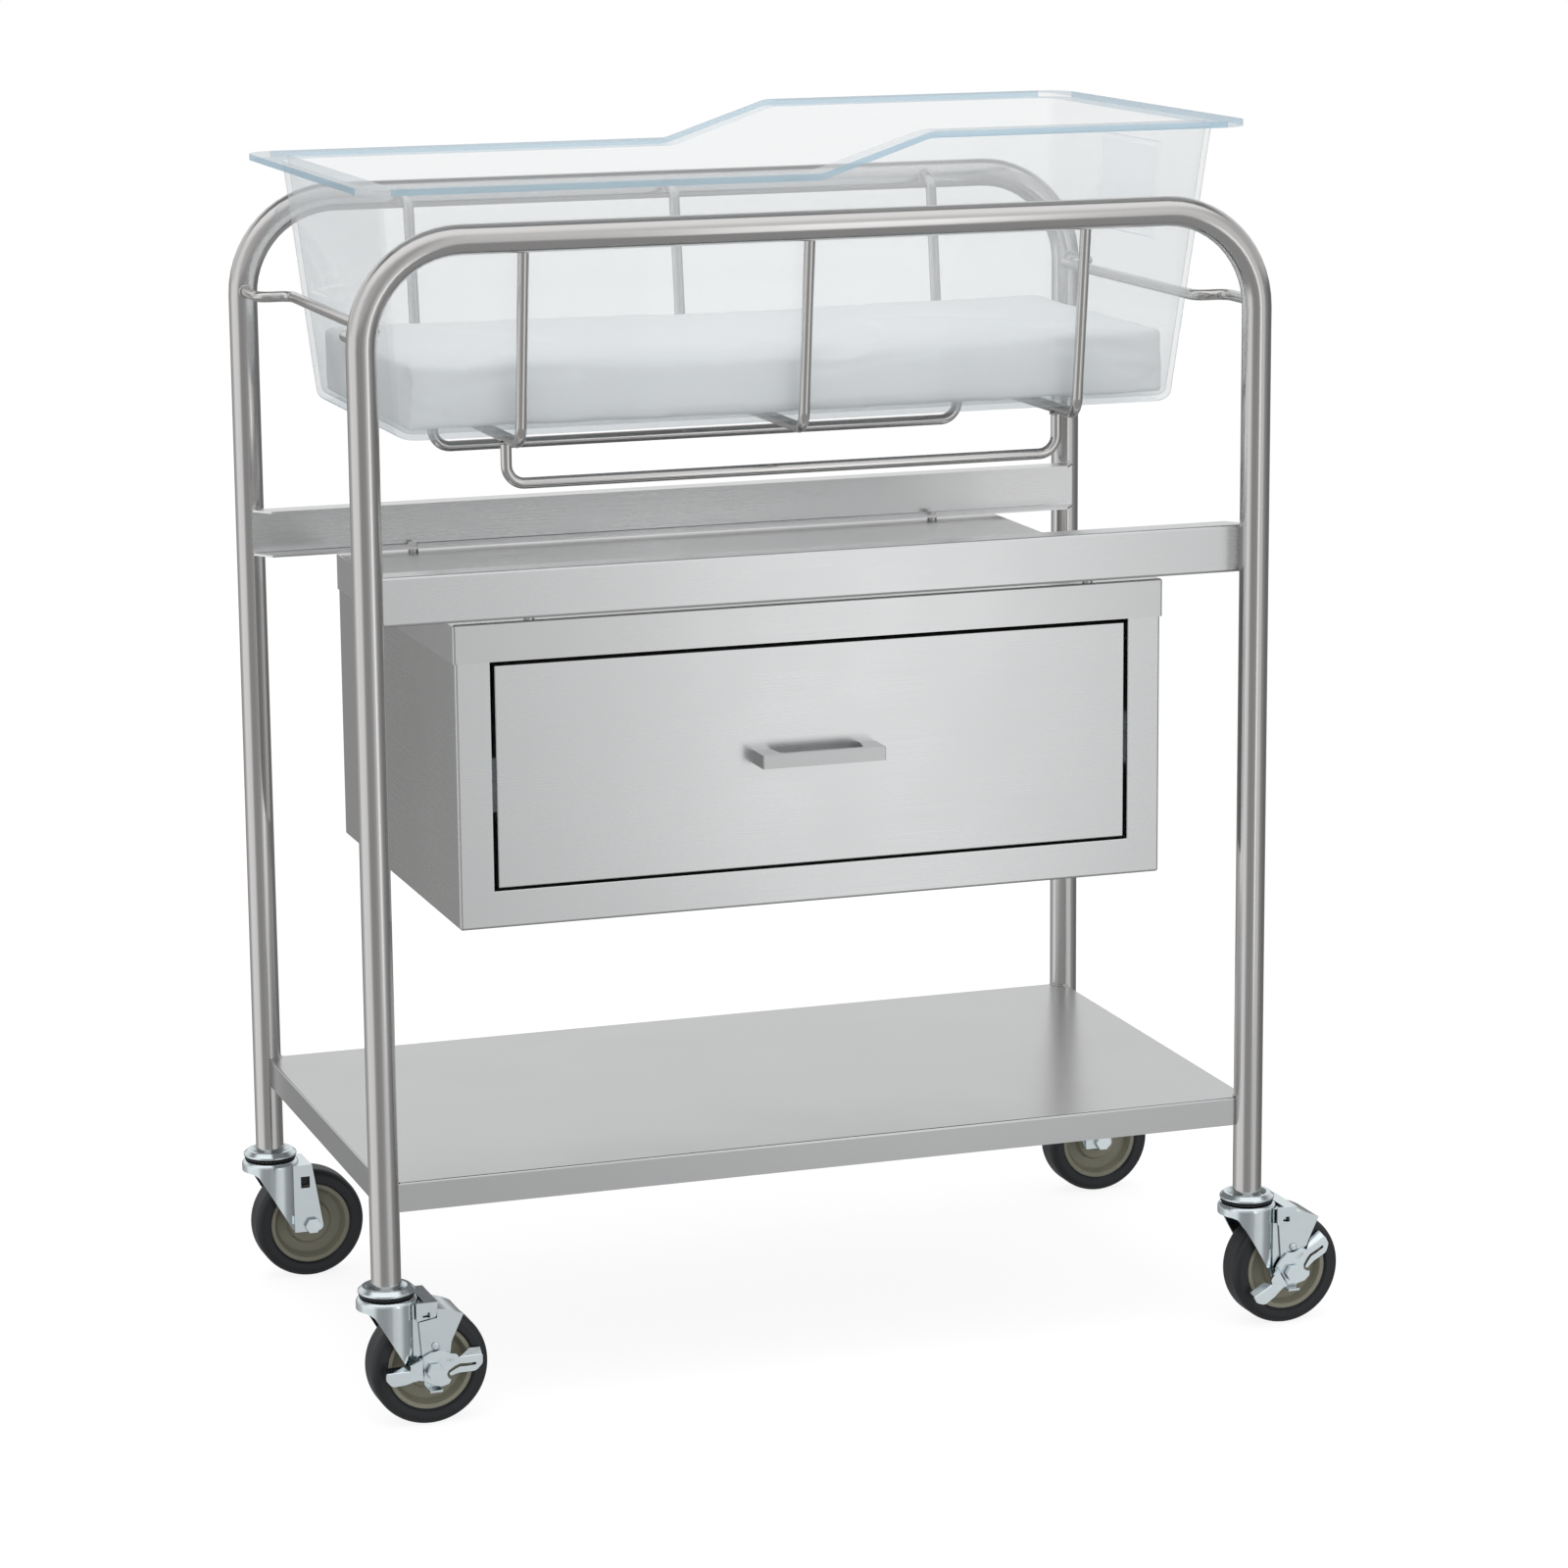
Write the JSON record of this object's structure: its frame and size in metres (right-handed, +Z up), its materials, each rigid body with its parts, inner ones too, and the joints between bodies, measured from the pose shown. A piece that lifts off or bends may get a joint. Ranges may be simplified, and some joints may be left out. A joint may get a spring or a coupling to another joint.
{
  "type": "hospital bassinet",
  "caption": "Newborn bassinet: clear tub with mattress cradled on a bent-tube steel carrier with a drawer cabinet, a lower shelf and swivel casters, two of them braked.",
  "frame": {"origin": "on the floor, at the middle of the bassinet's footprint with its casters trailing towards the head end", "axes": "+X along the bassinet towards the head end, where the rim is higher; +Y from the drawer side towards the rear; +Z up"},
  "size_m": [0.8973, 0.4966, 1.0686],
  "materials": {
    "brushed_stainless": "brushed stainless steel",
    "zinc_plate": "bright zinc plate with a blue tint",
    "clear_acrylic": "clear acrylic with polished edges",
    "white_cover": "matt coated cloth",
    "foam": "open-cell foam",
    "charcoal_tread": "smooth charcoal rubber",
    "olive_core": "moulded olive-grey plastic"
  },
  "bodies": {
    "carrier": {"front_frame_tube": "brushed_stainless", "rear_frame_tube": "brushed_stainless", "foot_end_bar": "brushed_stainless", "head_end_bar": "brushed_stainless", "foot_cradle_rod": "brushed_stainless", "middle_cradle_rod": "brushed_stainless", "head_cradle_rod": "brushed_stainless", "front_rack_rod": "brushed_stainless", "rear_rack_rod": "brushed_stainless", "front_cabinet_rail": "brushed_stainless", "rear_cabinet_rail": "brushed_stainless", "lower_shelf": "brushed_stainless", "cabinet_lid": "brushed_stainless", "cabinet_shell": "brushed_stainless", "cabinet_face_frame": "brushed_stainless", "cabinet_bolts": "brushed_stainless", "cabinet_spacers": "brushed_stainless", "slide_brackets": "zinc_plate", "slide_cabinet_members": "zinc_plate", "swivel_balls": "zinc_plate", "front_left_caster_cap": "zinc_plate", "rear_left_caster_cap": "zinc_plate", "front_right_caster_cap": "zinc_plate", "rear_right_caster_cap": "zinc_plate"},
    "slide_middle": {"slide_middle_members": "zinc_plate"},
    "drawer": {"drawer_front": "brushed_stainless", "drawer_box": "brushed_stainless", "drawer_handle": "brushed_stainless", "handle_screws": "zinc_plate", "slide_drawer_members": "zinc_plate"},
    "basket": {"basket_tub": "clear_acrylic", "card_holder": "clear_acrylic"},
    "mattress": {"mattress_cover": "white_cover", "mattress_foam": "foam"},
    "front_left_swivel": {"front_left_yoke": "zinc_plate", "front_left_axle": "zinc_plate", "front_left_brake_bracket": "zinc_plate"},
    "front_left_wheel": {"front_left_tread": "charcoal_tread", "front_left_wheel_core": "olive_core"},
    "front_left_brake_lever": {"front_left_brake_lever": "zinc_plate"},
    "front_left_brake_shoe": {"front_left_brake_shoe": "zinc_plate"},
    "rear_left_swivel": {"rear_left_yoke": "zinc_plate", "rear_left_axle": "zinc_plate"},
    "rear_left_wheel": {"rear_left_tread": "charcoal_tread", "rear_left_wheel_core": "olive_core"},
    "front_right_swivel": {"front_right_yoke": "zinc_plate", "front_right_axle": "zinc_plate", "front_right_brake_bracket": "zinc_plate"},
    "front_right_wheel": {"front_right_tread": "charcoal_tread", "front_right_wheel_core": "olive_core"},
    "front_right_brake_lever": {"front_right_brake_lever": "zinc_plate"},
    "front_right_brake_shoe": {"front_right_brake_shoe": "zinc_plate"},
    "rear_right_swivel": {"rear_right_yoke": "zinc_plate", "rear_right_axle": "zinc_plate"},
    "rear_right_wheel": {"rear_right_tread": "charcoal_tread", "rear_right_wheel_core": "olive_core"}
  },
  "joints": [
    {"name": "drawer_slide", "type": "slide", "parent": "carrier", "child": "drawer", "axis": [0, -1, 0], "range_m": [0, 0.33]},
    {"name": "slide_middle_slide", "type": "slide", "parent": "carrier", "child": "slide_middle", "axis": [0, -1, 0], "range_m": [0, 0.165]},
    {"name": "basket_lift", "type": "slide", "parent": "carrier", "child": "basket", "axis": [0, 0, 1], "range_m": [0, 0.26]},
    {"name": "mattress_lift", "type": "slide", "parent": "basket", "child": "mattress", "axis": [0, 0, 1], "range_m": [0, 0.25]},
    {"name": "front_left_caster_swivel", "type": "hinge", "parent": "carrier", "child": "front_left_swivel", "pos_m": [-0.42345, -0.219, 0.1133], "axis": [0, 0, 1], "continuous": true},
    {"name": "front_left_wheel_roll", "type": "hinge", "parent": "front_left_swivel", "child": "front_left_wheel", "pos_m": [-0.39046, -0.21842, 0.0508], "axis": [-0.0175, 0.9998, 0], "continuous": true},
    {"name": "front_left_brake_lever_turn", "type": "hinge", "parent": "front_left_swivel", "child": "front_left_brake_lever", "pos_m": [-0.39046, -0.21842, 0.0508], "axis": [0.0175, -0.9998, 0], "range_deg": [0, 30]},
    {"name": "front_left_brake_shoe_slide", "type": "slide", "parent": "front_left_swivel", "child": "front_left_brake_shoe", "axis": [0, 0, 1], "range_m": [0, 0.0015]},
    {"name": "rear_left_caster_swivel", "type": "hinge", "parent": "carrier", "child": "rear_left_swivel", "pos_m": [-0.42345, 0.219, 0.1133], "axis": [0, 0, 1], "continuous": true},
    {"name": "rear_left_wheel_roll", "type": "hinge", "parent": "rear_left_swivel", "child": "rear_left_wheel", "pos_m": [-0.39046, 0.21958, 0.0508], "axis": [-0.0175, 0.9998, 0], "continuous": true},
    {"name": "front_right_caster_swivel", "type": "hinge", "parent": "carrier", "child": "front_right_swivel", "pos_m": [0.36395, -0.219, 0.1133], "axis": [0, 0, 1], "continuous": true},
    {"name": "front_right_wheel_roll", "type": "hinge", "parent": "front_right_swivel", "child": "front_right_wheel", "pos_m": [0.39694, -0.21842, 0.0508], "axis": [-0.0175, 0.9998, 0], "continuous": true},
    {"name": "front_right_brake_lever_turn", "type": "hinge", "parent": "front_right_swivel", "child": "front_right_brake_lever", "pos_m": [0.39694, -0.21842, 0.0508], "axis": [0.0175, -0.9998, 0], "range_deg": [-30, 0]},
    {"name": "front_right_brake_shoe_slide", "type": "slide", "parent": "front_right_swivel", "child": "front_right_brake_shoe", "axis": [0, 0, 1], "range_m": [-0.0015, 0]},
    {"name": "rear_right_caster_swivel", "type": "hinge", "parent": "carrier", "child": "rear_right_swivel", "pos_m": [0.36395, 0.219, 0.1133], "axis": [0, 0, 1], "continuous": true},
    {"name": "rear_right_wheel_roll", "type": "hinge", "parent": "rear_right_swivel", "child": "rear_right_wheel", "pos_m": [0.39694, 0.21958, 0.0508], "axis": [-0.0175, 0.9998, 0], "continuous": true}
  ],
  "couplings": [
    {"joint": "slide_middle_slide", "follows": "drawer_slide", "ratio": 0.5},
    {"joint": "front_left_brake_shoe_slide", "follows": "front_left_brake_lever_turn", "m_per_rad": 0.002865},
    {"joint": "front_right_brake_shoe_slide", "follows": "front_right_brake_lever_turn", "m_per_rad": 0.002865}
  ]
}
